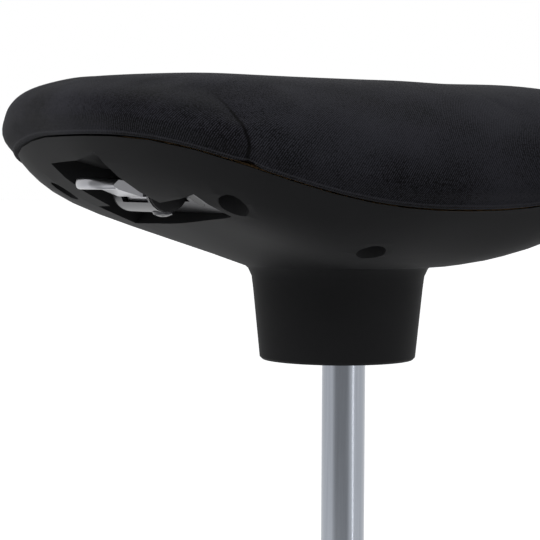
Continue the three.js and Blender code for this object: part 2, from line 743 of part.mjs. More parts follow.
function leverBracket() {
  const plate = ontoSlope(block(plateOutboard, plateInboard, plateFront, plateRear, 0, plateSteel));
  const barrel = revolveAcross([
    [0, barrelFront], [barrelRadius, barrelFront], [barrelRadius, barrelRear], [0, barrelRear],
  ], barrelFacets);
  const hollow = revolveAcross([
    [0, barrelFront + barrelEndWall], [barrelBore, barrelFront + barrelEndWall],
    [barrelBore, barrelRear - barrelEndWall], [0, barrelRear - barrelEndWall],
  ], barrelFacets);
  const pinBore = revolveAcross([
    [0, barrelFront - cutOverrun], [pivotRadius + runningClearance, barrelFront - cutOverrun],
    [pivotRadius + runningClearance, barrelRear + cutOverrun], [0, barrelRear + cutOverrun],
  ], tubeFacets);
  const window = block(-barrelRadius - cutOverrun, -barrelRadius * 0.4, windowFront, windowRear,
    windowLow, windowHigh);
  const capSpace = [[barrelFront, -1], [barrelRear, 1]].map(([face, outside]) => revolveAcross([
    [0, face], [barrelRadius + restGap, face],
    [barrelRadius + restGap, face + outside * (capDepth + capDome + pocketGap)],
    [0, face + outside * (capDepth + capDome + pocketGap)],
  ], barrelFacets));
  const tongue = new THREE.SphereGeometry(1, 10, 6)
    .scale(barrelRadius * 0.5, barrelRadius * 0.7, barrelRadius * 0.25)
    .translate(barrelRadius * 0.15, barrelFront + barrelRadius * 0.85, -barrelRadius * 0.98);
  return cut(join([plate, barrel, tongue]), [
    hollow, pinBore, window, ...capSpace, ...plateScrewsAt(restGap),
    toLever(cableTool.clone()),
  ]);
}
add('lever_bracket', leverBracket(), brightMetal, leverMount);
plateScrewsAt(0).forEach((screw, i) => {
  add(`lever_bracket_screw_${i + 1}`, screw, blackSteel, leverMount);
});

function endCap(outside) {
  return [
    [0, pivotRadius * 1.1], [0, capDepth + capDome],
    [0.5, capDepth + capDome * 0.8], [0.85, capDepth], [1, capDepth * 0.55], [1, 0],
  ].map(([share, depth]) => [share * barrelRadius * 0.97, outside * (depth + restGap)]);
}
function capSolid(face, outside) {
  const pocket = pivotRadius + restGap;
  const [, top, shoulder, edge, rim, foot] = endCap(outside);
  return revolveAcross([
    [0, outside * (capDepth * 0.8 + restGap)], top, shoulder, edge, rim, foot,
    [pocket, outside * restGap], [pocket, outside * (capDepth * 0.8 + restGap)],
  ], barrelFacets).translate(0, face, 0);
}
add('front_end_cap', capSolid(barrelFront, -1), blackPlastic, leverMount);
add('rear_end_cap', capSolid(barrelRear, 1), blackPlastic, leverMount);

const pinReach = capDepth * 0.6;
add('pivot_pin', revolveAcross([
  [0, barrelFront - pinReach], [pivotRadius, barrelFront - pinReach],
  [pivotRadius, barrelRear + pinReach], [0, barrelRear + pinReach],
], tubeFacets), plainSteel, leverMount);

// Height lever: a drum on the pin, an arm through the barrel's window and a finger paddle
const drumRadius = barrelBore - 0.8;
const drumFront = barrelFront + barrelEndWall + 0.5;
const drumRear = windowRear - 2;
const armFront = windowFront + 2;
const armRear = windowRear - 2;
const armLow = -3;
const armHigh = 1;
const paddleTip = -43;
const paddleRoot = -24;
const paddleFront = -11;
const paddleRear = 16;
const paddleLow = 1.2;
const paddleThickness = 7.1;
const paddleRound = 2.6;

function heightLever() {
  const drum = revolveAcross([
    [pivotRadius + runningClearance, drumFront], [drumRadius, drumFront],
    [drumRadius, drumRear], [pivotRadius + runningClearance, drumRear],
  ], tubeFacets);
  const paddleHigh = paddleLow + paddleThickness;
  const armProfile = [
    [-drumRadius * 0.6, armLow], [-barrelRadius - 1.5, armLow], [paddleRoot, paddleLow],
    [paddleRoot - paddleRound, paddleLow + paddleRound], [paddleRoot, paddleHigh - paddleRound / 2],
    [-barrelRadius - 5, paddleHigh - paddleRound], [-barrelRadius - 1, armHigh + 1.5],
    [-drumRadius * 0.6, armHigh],
  ];
  const armPlan = [
    [-drumRadius * 0.5, armFront], [-barrelRadius - 1, armFront],
    [paddleRoot - paddleRound, paddleFront], [paddleRoot - paddleRound, paddleRear], [-drumRadius * 0.5, armRear],
  ];
  const plan = new THREE.ExtrudeGeometry(shapeOf(armPlan), { depth: 4 * paddleHigh, bevelEnabled: false })
    .translate(0, 0, -2 * paddleHigh);
  const arm = common(extrudeAcross(armProfile, armFront - cutOverrun, paddleRear + cutOverrun), plan);
  const outline = new THREE.Shape();
  const corner = (paddleRear - paddleFront) * 0.3;
  const front = paddleFront + paddleRound;
  const rear = paddleRear - paddleRound;
  const tip = paddleTip + paddleRound;
  outline.moveTo(paddleRoot, front);
  outline.lineTo(paddleRoot, rear);
  outline.lineTo(tip + corner, rear);
  outline.quadraticCurveTo(tip, rear, tip, rear - corner);
  outline.lineTo(tip, front + corner);
  outline.quadraticCurveTo(tip, front, tip + corner, front);
  const paddle = new THREE.ExtrudeGeometry(outline, {
    depth: paddleThickness - 2 * paddleRound, curveSegments: 4, bevelEnabled: true,
    bevelSize: paddleRound, bevelThickness: paddleRound, bevelSegments: 3,
  }).translate(0, 0, paddleLow + paddleRound);
  const bore = revolveAcross([
    [0, drumFront - cutOverrun], [pivotRadius + runningClearance, drumFront - cutOverrun],
    [pivotRadius + runningClearance, drumRear + cutOverrun], [0, drumRear + cutOverrun],
  ], tubeFacets);
  return cut(join([drum, arm, paddle]), [bore]);
}
add('height_lever', heightLever(), brightMetal, leverMount);

// Return spring on the pin behind the drum
const springWire = 0.7;
const springTurns = 5;
const springRadius = pivotRadius + springWire + 1;
class SpringCurve extends THREE.Curve {
  getPoint(share) {
    const angle = share * springTurns * 2 * Math.PI;
    const low = drumRear + restGap + springWire;
    const high = barrelRear - barrelEndWall - restGap - springWire;
    return new THREE.Vector3(springRadius * Math.cos(angle), low + (high - low) * share,
      springRadius * Math.sin(angle));
  }
}
add('return_spring', alongPath(new SpringCurve(), springWire, 5, springTurns * 8), plainSteel, leverMount);

// Shell pocket for the mechanism: a shallow bed for the plate and a scoop for barrel and paddle
const scoopGap = 2;
const scoopCeiling = barrelRadius + 1.5;
const scoopRise = 9;
const scoopEnd = 6; // past the paddle's tip
const pocketReach = 36; // the cutting shape's depth below the barrel's axis
function pocketShape(wall) {
  const bed = ontoSlope(block(plateOutboard - pocketGap - wall, plateInboard + pocketGap + wall,
    plateFront - pocketGap - wall, plateRear + pocketGap + wall,
    -pocketReach, plateSteel + restGap + wall));
  const scoop = extrudeAcross([
    [barrelRadius + scoopGap + wall, -pocketReach],
    [barrelRadius + scoopGap + wall, scoopCeiling + wall],
    [-barrelRadius - scoopGap, scoopCeiling + wall],
    [paddleTip - scoopEnd - wall, scoopCeiling + scoopRise + wall],
    [paddleTip - scoopEnd - wall, -pocketReach],
  ], barrelFront - capDepth - capDome - scoopGap - wall, barrelRear + capDepth + capDome + scoopGap + wall);
  return toSeat(join([bed, scoop]));
}
const plateBosses = plateScrewPlaces.map(([x, y]) => toSeat(ontoSlope(
  rod(plateScrewRadius + shellWall, plateSteel + restGap, plateScrewLength + 2, screwFacets).translate(x, y, 0))));

function seatShell() {
  const bosses = shellScrewPlaces.map(({ x, y }) =>
    rod(bossRadius, flareHeight, rimSide, tubeFacets / 2).translate(x, y, 0));
  const underPan = common(common(join(bosses), shellFilled), spaceUnderPan);
  const walls = common(common(pocketShape(shellWall), shellFilled), spaceUnderPan);
  const bores = shellScrewPlaces.flatMap(({ x, y }) => {
    const seatLevel = panUndersideAt(x, y) - bossWall - restGap - 2;
    return [
      rod(counterboreRadius, 0, seatLevel, tubeFacets / 2).translate(x, y, 0),
      rod(shellScrewRadius + restGap, seatLevel - cutOverrun, rimSide, screwFacets).translate(x, y, 0),
    ];
  });
  return cut(join([shellSkin, underPan, walls, ...plateBosses]), [
    ...bores, pocketShape(0), ...plateScrewsAt(restGap).map(toSeat), cableTool,
  ]);
}
add('seat_shell', seatShell(), blackPlastic, seat);
shellScrewPlaces.forEach((place, i) => {
  add(`shell_screw_${i + 1}`, shellScrew(place, 0), blackSteel, seat);
});

const panHoles = [
  ...boltPlaces.map(([x, y]) => bracketBolt(restGap).translate(x, y, 0)),
  ...shellScrewPlaces.map((place) => shellScrew(place, restGap)),
];
add('seat_pan', cut(panSolid, panHoles), plywood, seat);

// Release head on the bracket's web: a folded cradle with two ears and a cable stop
const headHalfWidth = 10;
const headPivotX = 18;
const headPivotHeight = 104;
const headPivotRadius = 2;
const headLow = webHigh + restGap;
const headTop = cableHeight + 4;
const earHalfLength = 6;

function releaseHead() {
  const base = block(headStopX - headSteel, headPivotX + earHalfLength, -headHalfWidth, headHalfWidth,
    headLow, headLow + headSteel);
  const ears = [-headHalfWidth, headHalfWidth - headSteel].map((y) =>
    block(headPivotX - earHalfLength, headPivotX + earHalfLength, y, y + headSteel, headLow,
      headPivotHeight + earHalfLength));
  const stop = block(headStopX - headSteel, headStopX, -headHalfWidth, headHalfWidth, headLow, headTop);
  const pinBore = revolveAcross([
    [0, -2 * headHalfWidth], [headPivotRadius + runningClearance, -2 * headHalfWidth],
    [headPivotRadius + runningClearance, 2 * headHalfWidth], [0, 2 * headHalfWidth],
  ], tubeFacets).translate(headPivotX, 0, headPivotHeight);
  const wireHole = new THREE.CylinderGeometry(cableWireRadius + restGap, cableWireRadius + restGap,
    4 * headSteel, screwFacets).rotateZ(Math.PI / 2).translate(headStopX - headSteel / 2, 0, cableHeight);
  const buttonHole = rod(buttonRadius + 2, headLow - cutOverrun, headLow + headSteel + cutOverrun, tubeFacets);
  return cut(join([base, ...ears, stop]), [pinBore, wireHole, buttonHole]);
}
add('release_head', releaseHead(), plainSteel, seat);

add('arm_pin', revolveAcross([
  [0, -headHalfWidth - headSteel], [headPivotRadius, -headHalfWidth - headSteel],
  [headPivotRadius, headHalfWidth + headSteel], [0, headHalfWidth + headSteel],
], tubeFacets).translate(headPivotX, 0, headPivotHeight), plainSteel, seat);

// Release button in the head of the lift tube, and the arm that presses it
const buttonStand = 6; // above the tube's head
const buttonLength = 20;
const buttonHigh = headHeight + buttonStand;
add('release_button', rod(buttonRadius, buttonHigh - buttonLength, buttonHigh, tubeFacets), brightMetal, seat);

const armHalfThickness = 3.5;
const noseRadius = 3;
const hornTop = cableHeight + 3;
function releaseArm() {
  const pivotBossRadius = headPivotRadius * 2;
  const boss = revolveAcross([
    [0, -armHalfThickness], [pivotBossRadius, -armHalfThickness],
    [pivotBossRadius, armHalfThickness], [0, armHalfThickness],
  ], 20).translate(headPivotX, 0, headPivotHeight);
  const nose = revolveAcross([
    [0, -armHalfThickness], [noseRadius, -armHalfThickness],
    [noseRadius, armHalfThickness], [0, armHalfThickness],
  ], 20).translate(0, 0, buttonHigh + restGap + noseRadius);
  const beam = block(0, headPivotX, -armHalfThickness, armHalfThickness,
    buttonHigh + noseRadius * 0.8, headPivotHeight + pivotBossRadius * 0.7);
  const horn = block(headPivotX - 2, headPivotX + 2, -armHalfThickness, armHalfThickness,
    headPivotHeight, hornTop);
  const bore = revolveAcross([
    [0, -2 * armHalfThickness], [headPivotRadius + runningClearance, -2 * armHalfThickness],
    [headPivotRadius + runningClearance, 2 * armHalfThickness], [0, 2 * armHalfThickness],
  ], tubeFacets).translate(headPivotX, 0, headPivotHeight);
  const slot = block(headPivotX - 4, headPivotX + 4, -cableWireRadius - restGap * 2, cableWireRadius + restGap * 2,
    cableHeight - cableWireRadius - 2, hornTop + cutOverrun);
  return cut(join([boss, nose, beam, horn]), [bore, slot]);
}
add('release_arm', releaseArm(), plainSteel, seat);

add('cable_housing', alongPath(cableRoute, cableRadius, 8, 30), blackPlastic, seat);

const nippleRadius = 2.2;
const nippleStart = headPivotX + 2 + restGap;
const wire = new THREE.CylinderGeometry(cableWireRadius, cableWireRadius,
  nippleStart + nippleRadius - (headStopX - headSteel), 8).rotateZ(Math.PI / 2)
  .translate((nippleStart + nippleRadius + headStopX - headSteel) / 2, 0, cableHeight);
const nipple = new THREE.CylinderGeometry(nippleRadius, nippleRadius, 2 * nippleRadius, screwFacets)
  .rotateZ(Math.PI / 2).translate(nippleStart + nippleRadius, 0, cableHeight);
add('cable_wire', join([wire, nipple]), plainSteel, seat);

// Clips that hold the cable under the pan
const clipHalfLength = 4;
const clipHalfWidth = 5;
const cableClips = [-105, -65].map((x) => {
  const share = cableRoute.points.findIndex((point) => point.x >= x);
  const point = cableRoute.points[share];
  const clip = block(point.x - clipHalfLength, point.x + clipHalfLength, point.y - clipHalfWidth,
    point.y + clipHalfWidth, point.z - clipHalfWidth, deckCentre);
  return cut(common(clip, spaceUnderPan), [cableTool]);
});
cableClips.forEach((clip, i) => add(`cable_clip_${i + 1}`, clip, naturalPlastic, seat));

// Cushion: its skirt bellies past the shell's rim, rolls in over a broad shoulder and is dished
const crownHeight = 178;
const crownRearRise = 4;
const crownCornerFall = 14;
const crownFrontFall = 14;
const crownDish = 5;
const bellyOut = 9;
const bellyHeight = 12;
const skirtTuck = 2;
const shoulderReach = 78;
const shoulderPower = 2.6;
const crownSteps = 6;
function crownAt(angle, radius) {
  const across = radius * Math.cos(angle) / seatHalfWidth;
  const along = radius * Math.sin(angle);
  const rear = Math.max(0, along / seatRear);
  const front = Math.max(0, -along / seatFront);
  return crownHeight + (crownRearRise - crownCornerFall * across ** 2) * rear - crownFrontFall * front ** 2
    - crownDish * (1 - across ** 2) * (1 - Math.max(rear, front) ** 2);
}

function cushionSection(angle) {
  const rim = rimHeight(angle);
  const belly = outlineRadius(angle) + bellyOut;
  const skirt = [
    ...deckShares.map((share) => [panRadius(angle, share), deckHeight(angle, share) + restGap]),
    [outlineRadius(angle) - skirtTuck, rim + restGap],
    [belly - bellyOut * 0.35, rim + bellyHeight * 0.35],
  ];
  const shoulder = Array.from({ length: crownSteps + 1 }, (_, i) => {
    const turn = (i / crownSteps) * Math.PI / 2;
    const radius = belly - shoulderReach * (1 - Math.cos(turn) ** (2 / shoulderPower));
    const low = rim + bellyHeight;
    return [radius, low + (crownAt(angle, radius) - low) * Math.sin(turn) ** (2 / shoulderPower)];
  });
  const top = [0.6, 0.25].map((share) => {
    const radius = (belly - shoulderReach) * share;
    return [radius, crownAt(angle, radius)];
  });
  return [...skirt, ...shoulder, ...top];
}
const cushionSections = seatAngles.map((angle) => cushionSection(angle).map(([radius, height]) =>
  at(angle, radius, height)));
const cushionRings = cushionSections[0].map((_, row) => cushionSections.map((section) => section[row]));
add('seat_cushion', loft([
  [new THREE.Vector3(0, 0, deckCentre + restGap)], ...cushionRings, [new THREE.Vector3(0, 0, crownAt(0, 0))],
]), blackFabric, seat);

export default stool;
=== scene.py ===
import math
import bmesh
import bpy
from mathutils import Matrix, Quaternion, Vector


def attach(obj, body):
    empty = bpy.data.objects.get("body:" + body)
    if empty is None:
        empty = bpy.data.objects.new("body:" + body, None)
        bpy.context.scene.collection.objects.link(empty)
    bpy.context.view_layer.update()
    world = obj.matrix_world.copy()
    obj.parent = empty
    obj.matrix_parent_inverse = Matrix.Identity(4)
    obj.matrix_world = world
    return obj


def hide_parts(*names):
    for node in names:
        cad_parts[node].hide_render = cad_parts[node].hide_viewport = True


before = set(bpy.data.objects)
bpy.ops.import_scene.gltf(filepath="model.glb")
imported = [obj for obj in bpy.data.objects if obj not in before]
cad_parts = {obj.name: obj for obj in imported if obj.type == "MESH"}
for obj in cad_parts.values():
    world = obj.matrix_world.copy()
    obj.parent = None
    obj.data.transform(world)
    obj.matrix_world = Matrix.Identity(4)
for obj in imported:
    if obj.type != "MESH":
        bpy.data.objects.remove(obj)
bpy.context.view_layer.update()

# Camera. It stands 1.2 m from the column, a little above the mechanism and 28 degrees to the
# lever's side of straight ahead, with a long lens. The column is right of the picture's middle
# and the horizon above it, so the camera is turned and tipped down by those angles.
photo_pixels = 540
focal_pixels = 1863
column_right_of_middle = 74.4
horizon_above_middle = 86
camera_distance = 1.2
camera_height = 0.649
camera_azimuth = math.radians(-28)

camera = bpy.data.objects.new("camera", bpy.data.cameras.new("camera"))
bpy.context.scene.collection.objects.link(camera)
bpy.context.scene.camera = camera
camera.data.sensor_width = 36
camera.data.lens = camera.data.sensor_width * focal_pixels / photo_pixels
camera.data.clip_end = 200
camera.location = (
    camera_distance * math.sin(camera_azimuth),
    -camera_distance * math.cos(camera_azimuth),
    camera_height,
)
heading = camera_azimuth + math.atan(column_right_of_middle / focal_pixels)
dip = math.atan(horizon_above_middle / focal_pixels)
aim = Vector((
    -math.sin(heading) * math.cos(dip),
    math.cos(heading) * math.cos(dip),
    -math.sin(dip),
))
camera_roll = math.radians(0.3)
camera.rotation_mode = "QUATERNION"
camera.rotation_quaternion = aim.to_track_quat("-Z", "Y") @ Quaternion((0, 0, 1), camera_roll)
bpy.context.scene.view_settings.view_transform = "Standard"


# Floor. A roll of plain pale studio paper, laid flat and as wide as the room. It stays white to the
# camera, keeps the stool's shadow, and shows darker to polished metal on the camera's side.
def linear(hex_colour):
    """An sRGB hex colour as the linear numbers that a shader takes."""
    channels = [int(hex_colour[i:i + 2], 16) / 255 for i in (1, 3, 5)]
    return [*(c / 12.92 if c <= 0.04045 else ((c + 0.055) / 1.055) ** 2.4 for c in channels), 1.0]


def add_node(tree, kind, inputs=None, **settings):
    """Adds a node, sets its settings, and fills or links its inputs."""
    made = tree.nodes.new(kind)
    for name, value in settings.items():
        setattr(made, name, value)
    for name, value in (inputs or {}).items():
        if isinstance(value, bpy.types.NodeSocket):
            tree.links.new(value, made.inputs[name])
        else:
            made.inputs[name].default_value = value
    return made


def new_material(name, **shader):
    """A material whose shader's own sockets hold the given numbers, and its node tree and shader."""
    made = bpy.data.materials.new(name)
    made.use_nodes = True
    tree = made.node_tree
    principled = tree.nodes["Principled BSDF"]
    for socket, value in shader.items():
        principled.inputs[socket.replace("_", " ")].default_value = value
    return made, tree, principled


def seen_rays(tree):
    """The light path, and 1 for the rays that show what they meet: camera, glossy and transmission."""
    rays = add_node(tree, "ShaderNodeLightPath")
    seen = rays.outputs["Is Camera Ray"]
    for kind in ("Is Glossy Ray", "Is Transmission Ray"):
        both = {0: seen, 1: rays.outputs[kind]}
        seen = add_node(tree, "ShaderNodeMath", both, operation="ADD", use_clamp=True).outputs[0]
    return rays, seen


dark_side = (-0.59, -0.81, 0)


def dimmed(tree, direction, bright, dark):
    """A level that falls from bright to dark where a direction turns to the room's dark side."""
    turned = {0: direction, 1: dark_side}
    facing = add_node(tree, "ShaderNodeVectorMath", turned, operation="DOT_PRODUCT")
    return add_node(tree, "ShaderNodeMapRange", {
        "Value": facing.outputs["Value"], "From Min": 0.62, "From Max": 0.86,
        "To Min": bright, "To Max": dark,
    })


floor_reach = 60
floor_glow = 0.65
floor_mesh = bmesh.new()
bmesh.ops.create_grid(floor_mesh, x_segments=1, y_segments=1, size=floor_reach)
floor = bpy.data.objects.new("studio_floor", bpy.data.meshes.new("studio_floor"))
floor_mesh.to_mesh(floor.data)
floor_mesh.free()
bpy.context.scene.collection.objects.link(floor)
paper, tree, shader = new_material("white_studio_paper", Roughness=0.9)
shader.inputs["Base Color"].default_value = linear("#e4e4e2")
shader.inputs["Emission Color"].default_value = linear("#ffffff")
rays, seen = seen_rays(tree)
place = add_node(tree, "ShaderNodeTexCoord")
out = add_node(tree, "ShaderNodeVectorMath", {0: place.outputs["Object"]}, operation="NORMALIZE")
shade = dimmed(tree, out.outputs["Vector"], floor_glow, 0.0)
for_camera = {0: rays.outputs["Is Camera Ray"], 1: floor_glow}
bright = add_node(tree, "ShaderNodeMath", for_camera, operation="MULTIPLY")
bright = add_node(tree, "ShaderNodeMath", {0: shade.outputs[0], 1: bright.outputs[0]}, operation="MAXIMUM")
white = add_node(tree, "ShaderNodeMath", {0: seen, 1: bright.outputs[0]}, operation="MULTIPLY")
tree.links.new(white.outputs[0], shader.inputs["Emission Strength"])
floor.data.materials.append(paper)

# Light. A white room, dimmer as light than it looks, with a broad lamp from behind the near wing, a
# weaker one in front, a low one and a narrow strip. The metal sees the strip, and a darker side
# of the room and floor by the camera.
world = bpy.data.worlds.new("studio")
bpy.context.scene.world = world
world.use_nodes = True
tree = world.node_tree
tree.nodes.clear()
rays, seen = seen_rays(tree)
room_light, dark_level = 0.55, 0.42
room = add_node(tree, "ShaderNodeBackground", {"Color": linear("#f2f4f8"), "Strength": room_light})
place = add_node(tree, "ShaderNodeTexCoord")
shade = dimmed(tree, place.outputs["Generated"], 1.0, dark_level)
for_camera = {0: shade.outputs[0], 1: rays.outputs["Is Camera Ray"]}
shade = add_node(tree, "ShaderNodeMath", for_camera, operation="MAXIMUM")
backdrop = add_node(tree, "ShaderNodeBackground", {
    "Color": linear("#ffffff"), "Strength": shade.outputs[0]})
either = add_node(tree, "ShaderNodeMixShader", {
    0: seen, 1: room.outputs[0], 2: backdrop.outputs[0]})
add_node(tree, "ShaderNodeOutputWorld", {"Surface": either.outputs[0]})

lamp_aim = Vector((0, 0, 0.62))
for name, stand, size, tall, watts in (
    ("wing_lamp", (-1.2, -0.4, 1.9), 1.2, 1.2, 24),
    ("front_lamp", (-0.9, -2.1, 1.5), 1.4, 1.0, 2.5),
    ("low_lamp", (-1.3, -0.8, 0.3), 0.8, 0.8, 0.4),
    ("strip_lamp", (0.72, -1.44, 0.45), 0.10, 1.0, 1.2),
):
    lamp = bpy.data.objects.new(name, bpy.data.lights.new(name, "AREA"))
    lamp.data.shape = "RECTANGLE"
    lamp.data.size = size
    lamp.data.size_y = tall
    lamp.data.energy = watts
    lamp.location = stand
    lamp.visible_glossy = name == "strip_lamp"
    lamp.rotation_mode = "QUATERNION"
    lamp.rotation_quaternion = (lamp_aim - lamp.location).to_track_quat("-Z", "Y")
    bpy.context.scene.collection.objects.link(lamp)


# Cushion. Moulded foam in a stretched cover of fine black twill, sewn with a dart at each front
# corner and pulled under the shell's rim. The cover is swollen by a short cloth simulation.
def linked(name, mesh):
    made = bpy.data.objects.new(name, mesh)
    bpy.context.scene.collection.objects.link(made)
    return made


def apply_modifiers(obj):
    """Replaces an object's mesh by what its modifiers make of it."""
    graph = bpy.context.evaluated_depsgraph_get()
    graph.update()
    result = bpy.data.meshes.new_from_object(obj.evaluated_get(graph))
    obj.modifiers.clear()
    obj.data = result


half_width, front_reach, rear_reach = 0.202, 0.153, 0.172
outline_power = 2.8
neck_rim = 0.536
rim_side = neck_rim + 0.140
front_drop, rear_drop = 0.042, 0.030
crown_rise = 0.0418


def outline_radius(angle):
    """The seat's outline from above: one rounded oblong."""
    across = abs(math.cos(angle)) / half_width
    along = abs(math.sin(angle)) / (front_reach if math.sin(angle) < 0 else rear_reach)
    return (across ** outline_power + along ** outline_power) ** (-1 / outline_power)


def ease(value, low, high):
    """0 below low, 1 above high, and a smooth rise between them."""
    share = max(0.0, min(1.0, (value - low) / (high - low)))
    return share * share * (3 - 2 * share)


def rim_height(angle):
    """The shell's rim: level at the wings, 42 mm lower in front and 30 mm behind."""
    radius = outline_radius(angle)
    across = min(1.0, abs(radius * math.cos(angle)) / half_width)
    along = radius * math.sin(angle)
    if along < 0:
        return rim_side - front_drop * (1 - across ** 2.2) * (-along / front_reach) ** 3
    return rim_side - rear_drop * (along / rear_reach) ** 1.5


def crown_height(angle, radius):
    """The top: dished in the middle, lower to the front and corners, and slacker on the far wing."""
    x, y = radius * math.cos(angle), radius * math.sin(angle)
    across = x / half_width
    rear, front = max(0.0, y / rear_reach), max(0.0, -y / front_reach)
    return (
        rim_side + crown_rise
        + (0.004 - (0.011 if x < 0 else 0.014) * across ** 2) * rear - 0.020 * front ** 2
        - 0.0042 * (1 - across ** 2) * (1 - max(rear, front) ** 2)
        - 0.0040 * ease(-x, 0.105, 0.180) * (1 - ease(y, 0, 0.060))
        - 0.0013 * ease(x, 0, 0.050) - 0.0085 * ease(x, 0.080, 0.155)
    )


# One section of the cushion per angle: in under the rim, a soft hem that stands just clear of the
# shell, the skirt's belly, a broad round shoulder, and the top
around, shoulder_rows, top_rows = 176, 18, 14
belly_reach, belly_height, shoulder_width = 0.0105, 0.013, 0.080
rings = []
for step in range(around):
    angle = 2 * math.pi * step / around
    edge, rim = outline_radius(angle), rim_height(angle)
    belly, foot = edge + belly_reach, rim + belly_height
    section = [
        (edge - 0.030, rim + 0.004), (edge - 0.016, rim + 0.0035), (edge - 0.006, rim + 0.002),
        (edge - 0.001, rim + 0.0012), (edge + 0.0014, rim + 0.0009), (edge + 0.0028, rim + 0.0018),
        (edge + 0.0032, rim + 0.0034), (edge + 0.0044, rim + 0.0056), (edge + 0.0072, rim + 0.0084),
    ]
    hem_rows = len(section)
    fullness = 2.6 + 0.35 * ease(-math.cos(angle), 0.3, 0.9) - 0.3 * ease(math.cos(angle), 0.3, 0.9)
    for row in range(shoulder_rows + 1):
        turn = row / shoulder_rows * math.pi / 2
        radius = belly - shoulder_width * (1 - math.cos(turn) ** (2 / fullness))
        rise = math.sin(turn) ** (2 / fullness)
        section.append((radius, foot + (crown_height(angle, radius) - foot) * rise))
    for row in range(1, top_rows):
        radius = (belly - shoulder_width) * (1 - row / top_rows)
        section.append((radius, crown_height(angle, radius)))
    rings.append([Vector((r * math.cos(angle), r * math.sin(angle), z)) for r, z in section])
rows = len(rings[0])

cushion_mesh = bmesh.new()
grid = [[cushion_mesh.verts.new(point) for point in ring] for ring in rings]
underside = neck_rim + 0.1345
bottom = cushion_mesh.verts.new((0, 0, underside))
top = cushion_mesh.verts.new((0, 0, crown_height(0, 0)))

# The cover's own lengths, round the belly and up each section, for the weave
strip = cushion_mesh.loops.layers.uv.new("cover")
lengths = []
for ring in rings:
    run = [0.0]
    for before, after in zip(ring, ring[1:]):
        run.append(run[-1] + (after - before).length)
    lengths.append(run)
girth = [0.0]
for k in range(around):
    girth.append(girth[-1] + (rings[(k + 1) % around][hem_rows] - rings[k][hem_rows]).length)
for k in range(around):
    after = (k + 1) % around
    for row in range(rows - 1):
        face = cushion_mesh.faces.new(
            (grid[k][row], grid[after][row], grid[after][row + 1], grid[k][row + 1]))
        corners = ((k, k, row), (after, k + 1, row), (after, k + 1, row + 1), (k, k, row + 1))
        for loop, (column, along, height) in zip(face.loops, corners):
            loop[strip].uv = (girth[along], lengths[column][height])
    cushion_mesh.faces.new((bottom, grid[after][0], grid[k][0]))
    cushion_mesh.faces.new((top, grid[k][-1], grid[after][-1]))
mesh = bpy.data.meshes.new("cushion")
cushion_mesh.to_mesh(mesh)
cushion_mesh.free()
cushion = linked("cushion", mesh)
for face in mesh.polygons:
    face.use_smooth = True
swell_limit = 0.0015
cloth_steps = 20

# Only the upper side swells: the underside lies on the pan, and the hem is fixed
formed = [v.co.copy() for v in mesh.vertices]
fixed_rows = hem_rows + 1
underneath = [k * rows + row for k in range(around) for row in range(fixed_rows)]
held = cushion.vertex_groups.new(name="held")
held.add(underneath + [around * rows], 1.0, "REPLACE")
cloth = cushion.modifiers.new("cloth", "CLOTH")
cloth.settings.vertex_group_mass = held.name
cloth.settings.use_pressure = True
cloth.settings.uniform_pressure_force = 4
cloth.settings.effector_weights.gravity = 0
cloth.point_cache.frame_start = 1
cloth.point_cache.frame_end = cloth_steps
for step in range(1, cloth_steps + 1):
    bpy.context.scene.frame_set(step)
graph = bpy.context.evaluated_depsgraph_get()
swollen = [v.co.copy() for v in cushion.evaluated_get(graph).to_mesh().vertices]
cushion.modifiers.clear()
cushion.vertex_groups.clear()
bpy.context.scene.frame_set(1)
for vertex, start, end in zip(mesh.vertices, formed, swollen):
    shift = end - start
    vertex.co = start + shift * min(1.0, swell_limit / max(shift.length, swell_limit))

finer = cushion.modifiers.new("finer", "SUBSURF")
finer.levels = finer.render_levels = 1
apply_modifiers(cushion)

# A dart at each front corner, about 140 mm from the middle and leaning outward: a sewn line in a
# shallow hollow that runs from the hem over the shoulder and dies out on the top
dart_lean = 0.2
seam_depth, seam_spread = 0.0020, 0.0045
hollow_depth, hollow_spread = 0.0030, 0.020
for vertex in cushion.data.vertices:
    off = abs(abs(vertex.co.x) - dart_lean * vertex.co.z)
    if vertex.co.y > -0.06 or off > 0.06:
        continue
    sewn = 1 - ease(vertex.co.y, -0.128, -0.098)
    hollow = ease(vertex.co.z, 0.678, 0.690) * (1 - ease(vertex.co.y, -0.120, -0.070))
    pull = seam_depth * math.exp(-(off / seam_spread) ** 2) * sewn
    pull += hollow_depth * math.exp(-(off / hollow_spread) ** 2) * hollow
    vertex.co -= vertex.normal * pull

# Worsted twill: dark blue-grey yarn in diagonal ribs 1.15 mm apart, rough, with pale flecks. The
# ribs run round the skirt and shoulder by the cover's own lengths, and straight over the top.
rib_spacing, rib_turn = 0.00115, math.radians(32)
wave_length_at_scale_1 = math.pi / 10
twill, tree, shader = new_material(
    "black_worsted_twill", Roughness=0.95, Sheen_Weight=0.05, Sheen_Roughness=0.45)
shader.inputs["Specular IOR Level"].default_value = 0.06
place = add_node(tree, "ShaderNodeTexCoord")
cover = add_node(tree, "ShaderNodeUVMap", uv_map="cover")
ribs = []
for source in (cover.outputs[0], place.outputs["Object"]):
    plane = add_node(tree, "ShaderNodeMapping", {"Vector": source, "Rotation": (0, 0, rib_turn)})
    ribs.append(add_node(tree, "ShaderNodeTexWave", {
        "Vector": plane.outputs[0], "Scale": wave_length_at_scale_1 / rib_spacing, "Distortion": 1.4,
        "Detail": 1.0, "Detail Scale": 1.5,
    }, wave_type="BANDS", bands_direction="X", wave_profile="SIN").outputs["Fac"])
height = add_node(tree, "ShaderNodeSeparateXYZ", {"Vector": cover.outputs[0]})
over = add_node(tree, "ShaderNodeMapRange", {
    "Value": height.outputs["Y"], "From Min": 0.150, "From Max": 0.156})
